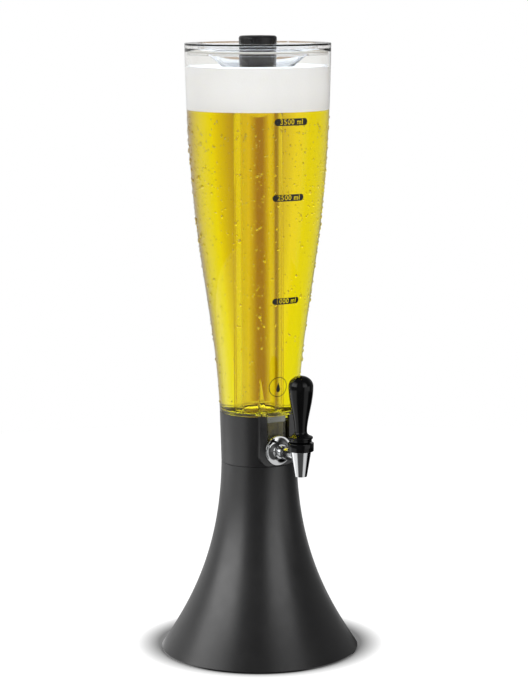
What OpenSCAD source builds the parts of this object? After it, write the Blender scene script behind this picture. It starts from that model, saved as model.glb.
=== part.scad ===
// Table-top drink tower: a flared stand, a clear goblet-shaped tank with an ice tube
// down its middle, and one lever tap at the foot of the tank.
// Millimetres. Z is up, the table is z = 0, the tap points towards -Y.

/* [View] */
// which piece to show

/* [Stand] */
// radius of the foot on the table
foot_r = 113.5; // [100:0.5:125]
// height of the seam where the bell meets the collar
bell_h = 222; // [190:1:250]
// outer radius of the bell's neck at the seam
neck_r = 43.4; // [42.6:0.1:44.2]
// wall of the bell and of the collar's spigot
base_wall = 3; // [2.4:0.1:3.4]
// gap between the bell's edge and the table
edge_lift = 0.8; // [0.5:0.1:1.4]
// rounding of the bell's lower edge
edge_round = 2.6; // [1.5:0.1:2.6]
// height of the collar above the seam
collar_h = 58; // [56:1:70]
// radius of the bore that takes the tank's skirt
collar_bore_r = 40.4; // [40:0.1:41]
// depth of the collar's spigot in the bell's neck
spigot_len = 13; // [9:0.5:20]
// height of the shoulder between the collar's bore and its spigot
ledge_t = 2.5; // [2:0.1:3]
// thickness of the shelf that closes the bell's neck
shelf_t = 3; // [2:0.5:5]
// radius of the hole in that shelf
shelf_hole_r = 26; // [18:1:27]

/* [Bottom plate] */
// thickness of the bottom plate
plate_t = 3; // [2.5:0.1:5]
// height of the plate's underside above the table
plate_lift = 1.5; // [1.2:0.1:2.2]
// gap between the plate's edge and the bell
plate_gap = 2; // [1.5:0.1:4]
// radius of each rubber foot
pad_foot_r = 9; // [6:0.5:12]
// depth of each rubber foot's pocket in the plate
foot_pocket = 1.5; // [1:0.1:1.8]
// distance of the rubber feet from the middle
feet_ring_r = 88; // [70:1:94]
// distance of the plate screws from the middle
screw_ring_r = 85; // [70:1:90]
// shank radius of the plate screws and the collar screws
screw_r = 1.6; // [1.3:0.1:2]
// length of the plate screws
plate_screw_len = 14; // [10:1:18]
// length of the collar screws
collar_screw_len = 15; // [11:0.5:16]
// distance of the collar screws from the middle
collar_screw_ring_r = 32.5; // [31.8:0.1:33]

/* [Tank] */
// height of the tank from its seat on the collar to its rim
tank_h = 411.5; // [340:1:480]
// outer radius of the tank at its seat
seat_r = 44.9; // [44.4:0.1:46]
// outer radius of the tank at its rim
rim_r = 82; // [74:0.5:90]
// wall of the tank
tank_wall = 2.5; // [2:0.1:3]
// thickness of the tank's floor
tank_floor = 3; // [2.5:0.1:3.5]
// radius of the sump in the tank's floor
sump_r = 35.2; // [33:0.1:35.2]
// length of the skirt that drops into the collar
skirt_len = 8; // [5:0.5:12]

/* [Tap pad and outlet] */
// distance of the flat tap pad from the middle
pad_y = 42; // [41.7:0.1:42.6]
// half the pad's width
pad_half = 24; // [20:0.5:26]
// rounding of the pad's lower corners
pad_round = 14; // [6:0.5:18]
// height of the pad's lower edge above the seam
pad_foot = 1; // [0.5:0.5:3]
// how far the pad's corners run up the tank
pad_rise = 65; // [58:1:75]
// half the width of the slot in the collar
slot_half = 14.8; // [13.4:0.1:16]
// distance of the tap's centre line below the tank's seat
tap_drop = 40; // [38:0.5:41]
// half the outlet duct's width
duct_half = 12.5; // [12:0.1:12.9]
// distance of the duct's front face from the middle
duct_front = 38; // [37:0.1:38.2]
// depth of the duct from front to back
duct_depth = 24; // [20:0.5:28]
// depth of the duct below the tank's seat
duct_drop = 54; // [52:0.5:55]
// rounding of the duct's lower corners
duct_round = 7; // [4:0.5:8]
// wall of the duct
duct_wall = 2.6; // [2:0.1:2.8]

/* [Lid] */
// height of the lid's outer band
lid_band_h = 5.5; // [4:0.5:9]
// wall of the lid
lid_wall = 2.2; // [1.6:0.1:2.6]
// length of the lid's spigot in the tank
lid_spigot_len = 7.5; // [6:0.5:12]
// radius where the funnel leaves the lid's flat top
funnel_top_r = 67.5; // [60:0.5:70]
// depth of the ice tube's seat below the tank's rim
seat_depth = 30.3; // [26:0.1:36]
// length of the throat below that seat
throat_len = 6; // [4:0.5:10]
// radius of each air hole in the lid
vent_r = 1.5; // [1:0.1:2.5]
// number of air holes in the lid
vent_count = 3; // [1:1:8]

/* [Ice tube] */
// outer radius of the ice tube
tube_r = 20.9; // [19:0.1:22]
// wall of the ice tube
tube_wall = 1.7; // [1.4:0.1:1.9]
// gap between the ice tube's end and the tank's floor
tube_end_gap = 6; // [5:0.5:20]
// width of the ice tube's flange
tube_flange_w = 4; // [3:0.1:4.4]
// thickness of the ice tube's flange
tube_flange_t = 2; // [1.5:0.1:3]
// how far the ice tube stands above the tank's rim
tube_top = 2.5; // [1:0.5:4]
// thickness of the flat seal under the flange
tube_seal_t = 1.2; // [0.8:0.1:2]
// height of the cap's knob
knob_h = 11; // [8:0.5:16]
// radius of the cap's knob
knob_r = 21.3; // [21:0.1:23]
// length of the cap's plug inside the tube
plug_len = 39; // [20:1:60]
// wall of the cap's plug
plug_wall = 2.4; // [2.2:0.1:4]
// thickness of the rubber ring on the plug
ring_t = 2.4; // [1.6:0.1:3]

/* [Tap] */
// distance of the spout from the middle of the stand
tap_reach = 90.4; // [84:0.2:96]
// length of the tap's cone below its centre line
spout_drop = 21; // [16:0.5:28]
// outer radius of the spout's end
spout_r = 6.9; // [6.6:0.1:7.5]
// outer radius of the cone's top
cone_r = 11.6; // [11.5:0.1:12]
// height of the cone's top above the centre line
cone_rise = 8; // [7.5:0.1:9]
// bore of the spout
spout_bore_r = 4.8; // [4:0.1:5]
// radius of the valve chamber
chamber_r = 7.6; // [7.3:0.1:7.7]
// depth of the valve seat below the centre line
valve_seat_drop = 7; // [6.5:0.1:8]
// outer radius of the shank's stub beside the cone
stub_r = 7; // [6.5:0.1:7.5]
// outer radius of the threaded shank
shank_r = 5.6; // [5.4:0.1:6]
// bore of the shank
shank_bore_r = 3.8; // [3:0.1:4]
// how far the shank reaches inside the duct
shank_in = 8.4; // [7:0.1:10]
// outer radius of the cover disc on the pad
disc_r = 17.1; // [16.5:0.1:17.3]
// height of the cover disc's hub
disc_h = 7; // [5:0.5:9]
// thickness of the seal washer on the duct
washer_t = 3; // [2:0.1:3.4]
// radius of the seal washer on the duct
washer_r = 12; // [9:0.1:12.5]
// distance across the flats of the lock nut
nut_flats = 17; // [15:0.1:18]
// thickness of the lock nut
nut_t = 6; // [4:0.5:6.5]

/* [Bonnet and valve] */
// outer radius of the bonnet
bonnet_r = 14.5; // [13.5:0.1:16]
// height of the bonnet
bonnet_h = 9.5; // [9:0.1:12]
// radius of the threaded neck inside the bonnet
thread_r = 10.4; // [10.2:0.1:10.6]
// height of that neck
thread_h = 4; // [3:0.1:4.4]
// thickness of the bonnet's flat seal
bonnet_seal_t = 1.2; // [0.8:0.1:1.6]
// radius of the valve's stem
stem_r = 2.8; // [2.4:0.1:2.9]
// thickness of the stem's seal
stem_seal_t = 2; // [1.5:0.1:2.4]
// outer radius of the stem's seal
stem_seal_r = 4.6; // [4.2:0.1:4.9]
// radius of the silicone seat plug
seat_plug_r = 6.6; // [6.2:0.1:6.8]
// thickness of the silicone seat plug
seat_plug_t = 6; // [5:0.5:7]
// wire radius of the valve's spring
wire_r = 0.6; // [0.4:0.1:0.7]
// number of the spring's turns
spring_turns = 6; // [4:1:8]

/* [Handle] */
// height of the handle's pin above the bonnet
pin_rise = 6; // [5.8:0.1:7]
// radius of the handle's pin
pin_r = 1.3; // [1:0.1:1.4]
// radius of the handle's foot
handle_foot_r = 13.5; // [12:0.1:13.8]
// radius of the handle's neck
handle_neck_r = 6.9; // [6.5:0.1:8]
// height of the neck above the pin
handle_neck_rise = 6.5; // [6.2:0.1:9]
// greatest radius of the handle's pear
handle_pear_r = 13.9; // [12:0.1:16]
// height of the pear's widest place above the pin
handle_pear_rise = 57.5; // [45:0.5:70]
// height of the handle's dome above its widest place
handle_dome_h = 12; // [8:0.5:16]
// how far the handle tips forward, in degrees
handle_tilt = 40; // [20:1:40]

/* [Hidden] */

// clearances
gap_fit = 0.05;
gap_free = 0.4;
gap_face = 0.3;
eps = 1;

// levels
z_seam = bell_h;
z_seat = z_seam + collar_h;
z_rim = z_seat + tank_h;
z_tap = z_seat - tap_drop;
z_ledge = z_seat + tank_floor;
z_floor = z_seat - skirt_len + tank_floor;
z_lid = z_rim + lid_band_h;
z_spigot = z_seam - spigot_len;
z_shelf = z_spigot - shelf_t;
z_plate_top = plate_lift + plate_t;
z_tube_seat = z_rim - seat_depth;
z_tube_bottom = z_floor + tube_end_gap;
z_tube_top = z_rim + tube_top;

// tap levels, all from the tap's centre line
z_cone_top = z_tap + cone_rise;
z_thread_top = z_cone_top + thread_h;
z_ceiling = z_thread_top + bonnet_seal_t;
z_bonnet_top = z_cone_top + bonnet_h;
z_pin = z_bonnet_top + pin_rise;
z_valve_seat = z_tap - valve_seat_drop;
z_seat_plug_top = z_valve_seat + seat_plug_t;
z_spout = z_tap - spout_drop;

// tap distances from the middle, towards the front
y_disc_back = pad_y + gap_face;
z_pad_low = min(z_seam + pad_foot, z_tap - disc_r - gap_face);
y_hub = pad_y + disc_h;
y_washer_back = duct_front + washer_t;
y_duct_in = duct_front - duct_wall;
y_shank_end = y_duct_in - shank_in;

// small features
screw_head_r = screw_r * 2;
screw_head_t = screw_r * 1.25;
boss_r = screw_r + 2.9;
pilot_r = screw_r + gap_fit;
tube_bore_r = tube_r - tube_wall;
tube_flange_r = tube_r + tube_flange_w;
plug_r = tube_bore_r - gap_free;
throat_bore_r = tube_r + gap_free;
seat_ledge_r = tube_flange_r + 0.7;
lid_spigot_r = rim_r - tank_wall - gap_free;
nut_corner_r = nut_flats / sqrt(3);
stem_head = pin_r + 2.1;
spring_r = chamber_r - wire_r - 1.1;

// ---- curves ----
function mix(a, b, k) = a + (b - a) * k;

function bezier(p, q, r, s, k) =
    (1 - k)^3 * p + 3 * k * (1 - k)^2 * q + 3 * k^2 * (1 - k) * r + k^3 * s;

function curve(p, q, r, s, n) = [for (i = [0:n]) bezier(p, q, r, s, i / n)];

function arc_points(cx, cy, r, a0, a1, n) =
    [for (i = [0:n]) [cx + r * cos(mix(a0, a1, i / n)), cy + r * sin(mix(a0, a1, i / n))]];

function shift_in(points, w) = [for (p = points) [p[0] - w, p[1]]];

function back(points) = [for (i = [len(points) - 1:-1:0]) points[i]];

// the stand's outline, from the foot's edge up to the seam
z_flare = edge_lift + edge_round;
bell_curve = curve(
    [foot_r, z_flare],
    [mix(foot_r, neck_r, 0.402), mix(z_flare, z_seam, 0.2)],
    [mix(foot_r, neck_r, 0.977), mix(z_flare, z_seam, 0.487)],
    [neck_r, z_seam], 32);

// the tank's outline, from its seat up to its rim
tank_curve = curve(
    [seat_r, z_seat],
    [mix(seat_r, rim_r, 0.154), mix(z_seat, z_rim, 0.3186)],
    [mix(seat_r, rim_r, 0.908), mix(z_seat, z_rim, 0.4333)],
    [rim_r, z_rim], 40);

// ---- helpers ----
// a solid that runs from y = -front to y = -rear, drawn as x and z
module forward(front, rear) {
    translate([0, -rear, 0]) rotate([90, 0, 0]) linear_extrude(front - rear) children();
}

// a turned solid about the tap's centre line, drawn as radius and distance to the front
module about_shank(fn = 72) {
    translate([0, 0, z_tap]) rotate([90, 0, 0]) rotate_extrude($fn = fn) children();
}

// a plate with square upper corners and round lower corners
module tongue(half, low, high, r) {
    translate([-half, low + r]) square([2 * half, high - low - r]);
    translate([-half + r, low]) square([2 * (half - r), r + eps]);
    for (s = [-1, 1]) translate([s * (half - r), low + r]) circle(r, $fn = 48);
}

module ring(r_in, r_out, low, high, fn = 72) {
    translate([0, 0, low]) linear_extrude(high - low) difference() {
        circle(r_out, $fn = fn);
        circle(r_in, $fn = fn);
    }
}

module around(count, r, start) {
    for (i = [0:count - 1]) rotate([0, 0, start + 360 * i / count]) translate([r, 0, 0]) children();
}

// ---- stand ----
module bell_outer() {
    rotate_extrude($fn = 120) polygon(concat(
        [[0, edge_lift]],
        arc_points(foot_r - edge_round, z_flare, edge_round, -90, 0, 6),
        bell_curve, [[0, z_seam]]));
}

module base_bell() color([0.16, 0.16, 0.17]) {
    neck_in = neck_r - base_wall;
    inner = [for (p = shift_in(bell_curve, base_wall)) if (p[1] < z_shelf) p];
    difference() {
        rotate_extrude($fn = 120) polygon(concat(
            [[foot_r - base_wall, edge_lift]],
            arc_points(foot_r - edge_round, z_flare, edge_round, -90, 0, 6),
            bell_curve,
            [[neck_in, z_seam], [neck_in, z_spigot], [shelf_hole_r, z_spigot],
             [shelf_hole_r, z_shelf], [neck_in, z_shelf]],
            back(inner)));
        around(3, collar_screw_ring_r, 90)
            translate([0, 0, z_shelf - eps]) cylinder(shelf_t + 2 * eps, r = pilot_r, $fn = 32);
    }
    // bosses that take the plate screws, cut off by the wall they stand in
    difference() {
        intersection() {
            around(4, screw_ring_r, 45) translate([0, 0, z_plate_top])
                cylinder(z_seam, r = boss_r, $fn = 40);
            translate([0, 0, -0.6 * base_wall]) bell_outer();
        }
        around(4, screw_ring_r, 45) translate([0, 0, z_plate_top - eps])
            cylinder(plate_screw_len - plate_t + 2 * eps, r = pilot_r, $fn = 32);
    }
}

module base_plate() color([0.12, 0.12, 0.13]) {
    r = foot_r - base_wall - plate_gap;
    difference() {
        translate([0, 0, plate_lift]) cylinder(plate_t, r = r, $fn = 120);
        around(4, feet_ring_r, 0) translate([0, 0, plate_lift - eps])
            cylinder(foot_pocket + eps, r = pad_foot_r + gap_fit, $fn = 48);
        around(4, screw_ring_r, 45) translate([0, 0, plate_lift - eps])
            cylinder(plate_t + 2 * eps, r = pilot_r, $fn = 32);
        around(4, screw_ring_r, 45) translate([0, 0, plate_lift - eps])
            cylinder(screw_head_t / 2 + eps, r = screw_head_r + gap_fit, $fn = 32);
    }
}

// a pan-head screw whose head hangs from z = low
module screw(low, length) {
    translate([0, 0, low]) cylinder(length, r = screw_r, $fn = 32);
    translate([0, 0, low - screw_head_t]) difference() {
        cylinder(screw_head_t, r = screw_head_r, $fn = 32);
        for (a = [0, 90]) rotate([0, 0, a]) translate([-screw_r, -0.3 * screw_r, -eps])
            cube([2 * screw_r, 0.6 * screw_r, eps + screw_head_t / 2]);
    }
}

module base_plate_screws() color([0.6, 0.6, 0.62]) {
    around(4, screw_ring_r, 45) screw(plate_lift + screw_head_t / 2, plate_screw_len - screw_head_t / 2);
}

module rubber_feet() color([0.08, 0.08, 0.08]) {
    around(4, feet_ring_r, 0) rotate_extrude($fn = 48) polygon([
        [0, 0], [pad_foot_r - 0.6, 0], [pad_foot_r, 0.6],
        [pad_foot_r, plate_lift + foot_pocket], [0, plate_lift + foot_pocket]]);
}

module base_collar() color([0.18, 0.18, 0.19]) {
    spigot_r = neck_r - base_wall - gap_fit;
    spigot_in = spigot_r - base_wall;
    difference() {
        union() {
            rotate_extrude($fn = 120) polygon([
                [0, z_seam], [neck_r - 0.5, z_seam], [neck_r, z_seam + 0.5],
                [seat_r, z_seat], [0, z_seat]]);
            translate([0, 0, z_spigot]) cylinder(spigot_len + eps, r = spigot_r, $fn = 96);
            forward(pad_y, 20) tongue(pad_half, z_pad_low, z_seat, pad_round);
        }
        forward(pad_y + 20, pad_y) tongue(pad_half, z_pad_low, z_seat + eps, pad_round);
        translate([0, 0, z_seam + ledge_t]) cylinder(collar_h, r = collar_bore_r, $fn = 96);
        translate([0, 0, z_spigot + shelf_t]) cylinder(spigot_len + eps, r = spigot_in, $fn = 96);
        forward(pad_y + eps, 30) tongue(slot_half, z_tap - slot_half, z_seat + eps, slot_half - 0.01);
        around(3, collar_screw_ring_r, 90) translate([0, 0, z_spigot - eps])
            cylinder(collar_screw_len, r = pilot_r, $fn = 32);
    }
    around(3, collar_screw_ring_r, 90)
        ring(pilot_r, boss_r, z_spigot + shelf_t - 0.5, z_spigot + collar_screw_len - shelf_t, 40);
}

module collar_screws() color([0.6, 0.6, 0.62]) {
    around(3, collar_screw_ring_r, 90) screw(z_shelf, collar_screw_len);
}

// ---- tank ----
module duct_outer() {
    forward(duct_front, duct_front - duct_depth)
        tongue(duct_half, z_seat - duct_drop, z_seat + eps, duct_round);
}

module duct_inner() {
    forward(y_duct_in, duct_front - duct_depth + duct_wall)
        tongue(duct_half - duct_wall, z_seat - duct_drop + duct_wall, z_ledge,
            duct_round - duct_wall);
}

module tank() color([0.85, 0.87, 0.9, 0.4]) {
    inner = [for (p = shift_in(tank_curve, tank_wall)) if (p[1] > z_ledge + 2) p];
    difference() {
        union() {
            rotate_extrude($fn = 144) polygon(concat([[0, z_seat]], tank_curve, [[0, z_rim]]));
            translate([-pad_half, -pad_y, z_seat]) cube([2 * pad_half, 20, pad_rise]);
            translate([0, 0, z_seat - skirt_len])
                cylinder(skirt_len + eps, r = collar_bore_r - gap_free, $fn = 96);
            duct_outer();
        }
        rotate_extrude($fn = 144) polygon(concat(
            [[0, z_floor], [sump_r - 1, z_floor], [sump_r, z_floor + 1], [sump_r, z_ledge - 0.5],
             [sump_r + 0.5, z_ledge], [seat_r - tank_wall - 2, z_ledge]],
            inner,
            [[rim_r - tank_wall, z_rim + eps], [0, z_rim + eps]]));
        duct_inner();
        // the floor leaves the slot in the collar free
        translate([-slot_half, -pad_y, z_seat - skirt_len - eps])
            cube([2 * slot_half, pad_y - duct_front, skirt_len + eps]);
        forward(duct_front + eps, y_duct_in - 0.5)
            translate([0, z_tap]) circle(shank_r + gap_fit, $fn = 48);
    }
}

// ---- lid ----
module lid() color([0.7, 0.72, 0.74, 0.5]) {
    flat_low = z_lid - lid_wall;
    // the funnel's wall, measured straight up, for its slope
    slope = atan2(lid_band_h + seat_depth, funnel_top_r - seat_ledge_r);
    drop = lid_wall / cos(slope);
    throat_r = throat_bore_r + lid_wall;
    difference() {
        rotate_extrude($fn = 120) polygon([
            [rim_r, z_rim], [rim_r, z_lid - 0.8], [rim_r - 0.8, z_lid], [funnel_top_r, z_lid],
            [seat_ledge_r, z_tube_seat], [throat_bore_r, z_tube_seat],
            [throat_bore_r, z_tube_seat - throat_len], [throat_r, z_tube_seat - throat_len],
            [throat_r, z_tube_seat - drop - (seat_ledge_r - throat_r) * tan(slope)],
            [funnel_top_r + (drop - lid_wall) / tan(slope), flat_low],
            [lid_spigot_r - lid_wall, flat_low], [lid_spigot_r - lid_wall, z_rim - lid_spigot_len],
            [lid_spigot_r - 0.6, z_rim - lid_spigot_len], [lid_spigot_r, z_rim - lid_spigot_len + 0.6],
            [lid_spigot_r, z_rim]]);
        around(vent_count, (funnel_top_r + lid_spigot_r) / 2, 30) translate([0, 0, flat_low - eps])
            cylinder(lid_wall + 2 * eps, r = vent_r, $fn = 24);
        // groove for the gasket
        ring(lid_spigot_r - 0.9, lid_spigot_r + eps, z_rim - lid_spigot_len / 2 - 1,
            z_rim - lid_spigot_len / 2 + 1, 120);
    }
}

module lid_gasket() color([0.8, 0.8, 0.78]) {
    low = z_rim - lid_spigot_len / 2 - 1;
    out = lid_spigot_r + gap_free - 0.1;
    rotate_extrude($fn = 120) polygon([
        [lid_spigot_r - 0.9, low], [lid_spigot_r - 0.1, low], [out, low + 0.7],
        [out, low + 1.3], [lid_spigot_r - 0.1, low + 2], [lid_spigot_r - 0.9, low + 2]]);
}

// ---- ice tube ----
module ice_tube() color([0.85, 0.87, 0.9, 0.4]) {
    low = z_tube_seat + tube_seal_t;
    rotate_extrude($fn = 96) polygon(concat(
        [[0, z_tube_bottom]],
        arc_points(tube_r - 3, z_tube_bottom + 3, 3, -90, 0, 6),
        [[tube_r, low], [tube_flange_r, low], [tube_flange_r, low + tube_flange_t],
         [tube_r, low + tube_flange_t], [tube_r, z_tube_top], [tube_bore_r, z_tube_top],
         [tube_bore_r, z_tube_bottom + tube_wall + 1.5],
         [tube_bore_r - 1.5, z_tube_bottom + tube_wall], [0, z_tube_bottom + tube_wall]]));
}

module tube_seal() color([0.8, 0.8, 0.78]) {
    ring(tube_r + 0.1, tube_flange_r - 0.2, z_tube_seat, z_tube_seat + tube_seal_t, 96);
}

module ice_tube_cap() color([0.1, 0.1, 0.1]) {
    z_low = z_tube_top - plug_len;
    z_ring = z_low + 2 * ring_t;
    z_top = z_tube_top + knob_h;
    difference() {
        rotate_extrude($fn = 96) polygon(concat(
            [[0, z_tube_top], [plug_r - plug_wall, z_tube_top], [plug_r - plug_wall, z_low],
             [plug_r, z_low], [plug_r, z_tube_top], [knob_r - 0.8, z_tube_top],
             [knob_r, z_tube_top + 0.8]],
            arc_points(knob_r - 3, z_top - 3, 3, 0, 90, 8),
            [[knob_r - 5, z_top], [knob_r - 8, z_top - 1.2], [0, z_top - 1.6]]));
        ring(plug_r - plug_wall / 2, plug_r + eps, z_ring, z_ring + ring_t, 96);
    }
}

module cap_seal() color([0.12, 0.12, 0.12]) {
    z_ring = z_tube_top - plug_len + 2 * ring_t;
    out = tube_bore_r - 0.1;
    rotate_extrude($fn = 96) polygon([
        [plug_r - plug_wall / 2 + gap_fit, z_ring], [plug_r, z_ring], [out, z_ring + 0.3 * ring_t],
        [out, z_ring + 0.7 * ring_t], [plug_r, z_ring + ring_t],
        [plug_r - plug_wall / 2 + gap_fit, z_ring + ring_t]]);
}

// ---- tap ----
module at_spout() {
    translate([0, -tap_reach, 0]) children();
}

module tap_body() color([0.75, 0.76, 0.78]) {
    difference() {
        union() {
            at_spout() rotate_extrude($fn = 96) polygon([
                [0, z_spout], [spout_r - 0.5, z_spout], [spout_r, z_spout + 0.5],
                [cone_r, z_cone_top - 1], [cone_r, z_cone_top], [thread_r, z_cone_top],
                [thread_r, z_thread_top], [0, z_thread_top]]);
            about_shank() polygon([
                [0, y_hub], [stub_r, y_hub], [stub_r, tap_reach], [0, tap_reach]]);
            about_shank() polygon([
                [0, y_shank_end], [shank_r - 0.5, y_shank_end], [shank_r, y_shank_end + 0.5],
                [shank_r, y_hub + eps], [0, y_hub + eps]]);
        }
        at_spout() translate([0, 0, z_spout - eps])
            cylinder(spout_drop + eps, r = spout_bore_r, $fn = 64);
        at_spout() translate([0, 0, z_valve_seat])
            cylinder(z_thread_top - z_valve_seat + eps, r = chamber_r, $fn = 64);
        about_shank() polygon([
            [0, y_shank_end - eps], [shank_bore_r, y_shank_end - eps],
            [shank_bore_r, tap_reach], [0, tap_reach]]);
    }
}

module tap_escutcheon() color([0.75, 0.76, 0.78]) {
    bore = shank_r + gap_fit;
    rise = disc_h - gap_face;
    about_shank() polygon(concat(
        [[bore, y_washer_back], [slot_half - 4.8, y_washer_back], [slot_half - 4.8, y_disc_back],
         [disc_r, y_disc_back], [disc_r, y_disc_back + 0.9]],
        curve([disc_r - 0.5, y_disc_back + 1.4], [disc_r - 3.5, y_disc_back + 0.2 * rise],
            [stub_r + 3.6, y_disc_back + 0.45 * rise], [stub_r + 1.6, y_hub - 0.6], 10),
        [[stub_r + 1, y_hub], [bore, y_hub]]));
}

module tap_seal_washer() color([0.8, 0.8, 0.78]) {
    about_shank() polygon([
        [shank_r + gap_fit, duct_front], [washer_r, duct_front],
        [washer_r, y_washer_back], [shank_r + gap_fit, y_washer_back]]);
}

module tap_lock_nut() color([0.7, 0.71, 0.73]) {
    difference() {
        translate([0, -y_duct_in, z_tap]) rotate([-90, 30, 0])
            cylinder(nut_t, r = nut_corner_r, $fn = 6);
        translate([0, -y_duct_in - eps, z_tap]) rotate([-90, 0, 0])
            cylinder(nut_t + 2 * eps, r = shank_r + gap_fit, $fn = 48);
    }
}

module bonnet() color([0.06, 0.06, 0.06]) {
    at_spout() rotate_extrude($fn = 96) polygon([
        [thread_r + 0.1, z_cone_top], [bonnet_r - 0.6, z_cone_top], [bonnet_r, z_cone_top + 0.6],
        [bonnet_r, z_bonnet_top - 1.2], [bonnet_r - 1.2, z_bonnet_top],
        [stem_r + 0.08, z_bonnet_top], [stem_r + 0.08, z_ceiling + stem_seal_t],
        [stem_seal_r, z_ceiling + stem_seal_t], [stem_seal_r, z_ceiling],
        [thread_r + 0.1, z_ceiling]]);
}

module bonnet_seal() color([0.8, 0.8, 0.78]) {
    at_spout() ring(chamber_r + 0.2, thread_r - 0.1, z_thread_top, z_ceiling);
}

module stem_seal() color([0.12, 0.12, 0.12]) {
    at_spout() ring(stem_r + gap_fit, stem_seal_r, z_ceiling, z_ceiling + stem_seal_t, 64);
}

module valve_stem() color([0.7, 0.71, 0.73]) {
    difference() {
        at_spout() translate([0, 0, z_valve_seat + 2])
            cylinder(z_pin + stem_head - z_valve_seat - 2, r = stem_r, $fn = 48);
        translate([-stem_r - eps, -tap_reach, z_pin]) rotate([0, 90, 0])
            cylinder(2 * (stem_r + eps), r = pin_r, $fn = 32);
    }
}

module seat_plug() color([0.85, 0.83, 0.78]) {
    at_spout() rotate_extrude($fn = 64) polygon([
        [0, z_valve_seat], [seat_plug_r, z_valve_seat], [seat_plug_r, z_seat_plug_top],
        [stem_r, z_seat_plug_top], [stem_r, z_valve_seat + 2], [0, z_valve_seat + 2]]);
}

// one wire along a screw line, seated on the plug and under the bonnet
module valve_spring() color([0.7, 0.71, 0.73]) {
    sides = 8;
    per_turn = 16;
    rings = spring_turns * per_turn;
    low = z_seat_plug_top + wire_r;
    high = z_ceiling - wire_r;
    points = [for (i = [0:rings], j = [0:sides - 1])
        let (a = 360 * i / per_turn, b = 360 * j / sides, r = spring_r + wire_r * cos(b))
        [r * cos(a), r * sin(a) - tap_reach, mix(low, high, i / rings) + wire_r * sin(b)]];
    walls = [for (i = [0:rings - 1], j = [0:sides - 1], k = [0, 1])
        let (n = (j + 1) % sides, p = i * sides, q = p + sides)
        k == 0 ? [p + j, p + n, q + n] : [p + j, q + n, q + j]];
    first = [for (j = [1:sides - 2]) [0, j + 1, j]];
    last = [for (j = [1:sides - 2]) [rings * sides, rings * sides + j, rings * sides + j + 1]];
    polyhedron(points, concat(walls, first, last));
}

module handle_pin() color([0.7, 0.71, 0.73]) {
    half = handle_foot_r - 2;
    translate([-half, -tap_reach, z_pin]) rotate([0, 90, 0]) cylinder(2 * half, r = pin_r, $fn = 32);
}

// ---- handle ----
module tap_handle() color([0.05, 0.05, 0.05]) {
    z_low = gap_face - pin_rise;
    z_dome = handle_pear_rise + handle_dome_h;
    slot = stem_r + gap_face;
    lean = slot / cos(handle_tilt) + 0.1;
    reach = stem_head * sin(handle_tilt) + stem_r * cos(handle_tilt) + gap_free;
    lip = norm([stem_head, stem_r]) + gap_free;
    step = (lean - slot) / tan(handle_tilt);
    f = handle_foot_r;
    translate([0, -tap_reach, z_pin]) difference() {
        rotate_extrude($fn = 96) polygon(concat(
            [[0, z_low], [f - 4.8, z_low], [f - 3, z_low + 0.3], [f - 1.5, z_low + 0.9],
             [f - 1.2, z_low + 1.4], [f - 1.2, -1.8], [f - 0.3, -1.4], [f, -0.8], [f, 0.3]],
            curve([f - 0.5, 0.9], [f - 3.4, 1.9],
                [handle_neck_r, 3.4], [handle_neck_r, handle_neck_rise], 8),
            curve([handle_neck_r, handle_neck_rise + 0.1],
                [handle_neck_r, mix(handle_neck_rise, handle_pear_rise, 0.3)],
                [handle_pear_r, mix(handle_neck_rise, handle_pear_rise, 0.62)],
                [handle_pear_r, handle_pear_rise], 24),
            [for (i = [1:12]) [handle_pear_r * cos(7.5 * i),
                handle_pear_rise + handle_dome_h * sin(7.5 * i)]]));
        // the stem leans back to this side as the handle tips forward
        rotate([90, 0, 90]) translate([0, 0, -slot]) linear_extrude(2 * slot) polygon([
            [slot, z_low - eps], [slot, -step], [reach, (reach - lean) / tan(handle_tilt)],
            [reach, lip], [-slot, lip], [-slot, step],
            [-lean + (z_low - eps) * tan(handle_tilt), z_low - eps]]);
        translate([-handle_foot_r - eps, 0, 0]) rotate([0, 90, 0])
            cylinder(2 * (handle_foot_r + eps), r = pin_r + gap_fit, $fn = 32);
    }
}

base_bell();
base_plate();
base_plate_screws();
rubber_feet();
base_collar();
collar_screws();
tank();
lid();
lid_gasket();
ice_tube();
tube_seal();
ice_tube_cap();
cap_seal();
tap_body();
tap_escutcheon();
tap_seal_washer();
tap_lock_nut();
bonnet();
bonnet_seal();
stem_seal();
valve_stem();
seat_plug();
valve_spring();
handle_pin();
tap_handle();
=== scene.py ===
"""Looks for the drink tower: finer shells, drink, droplets, printed marks, materials, light and camera."""
import math

import bmesh
import bpy
import numpy as np
from mathutils import Matrix, Vector


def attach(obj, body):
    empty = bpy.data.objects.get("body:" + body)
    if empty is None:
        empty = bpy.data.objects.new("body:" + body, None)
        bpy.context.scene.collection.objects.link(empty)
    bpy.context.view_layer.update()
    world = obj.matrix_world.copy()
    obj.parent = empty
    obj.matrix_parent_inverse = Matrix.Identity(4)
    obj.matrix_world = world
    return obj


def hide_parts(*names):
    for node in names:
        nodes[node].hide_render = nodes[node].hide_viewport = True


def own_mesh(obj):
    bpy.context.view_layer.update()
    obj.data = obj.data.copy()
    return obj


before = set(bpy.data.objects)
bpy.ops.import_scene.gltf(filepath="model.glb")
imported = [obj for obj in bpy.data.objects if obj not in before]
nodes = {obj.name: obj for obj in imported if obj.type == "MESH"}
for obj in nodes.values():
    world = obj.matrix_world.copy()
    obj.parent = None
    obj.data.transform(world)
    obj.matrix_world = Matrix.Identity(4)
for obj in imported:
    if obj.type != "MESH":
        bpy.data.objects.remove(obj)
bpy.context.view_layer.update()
MM = 0.001

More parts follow.
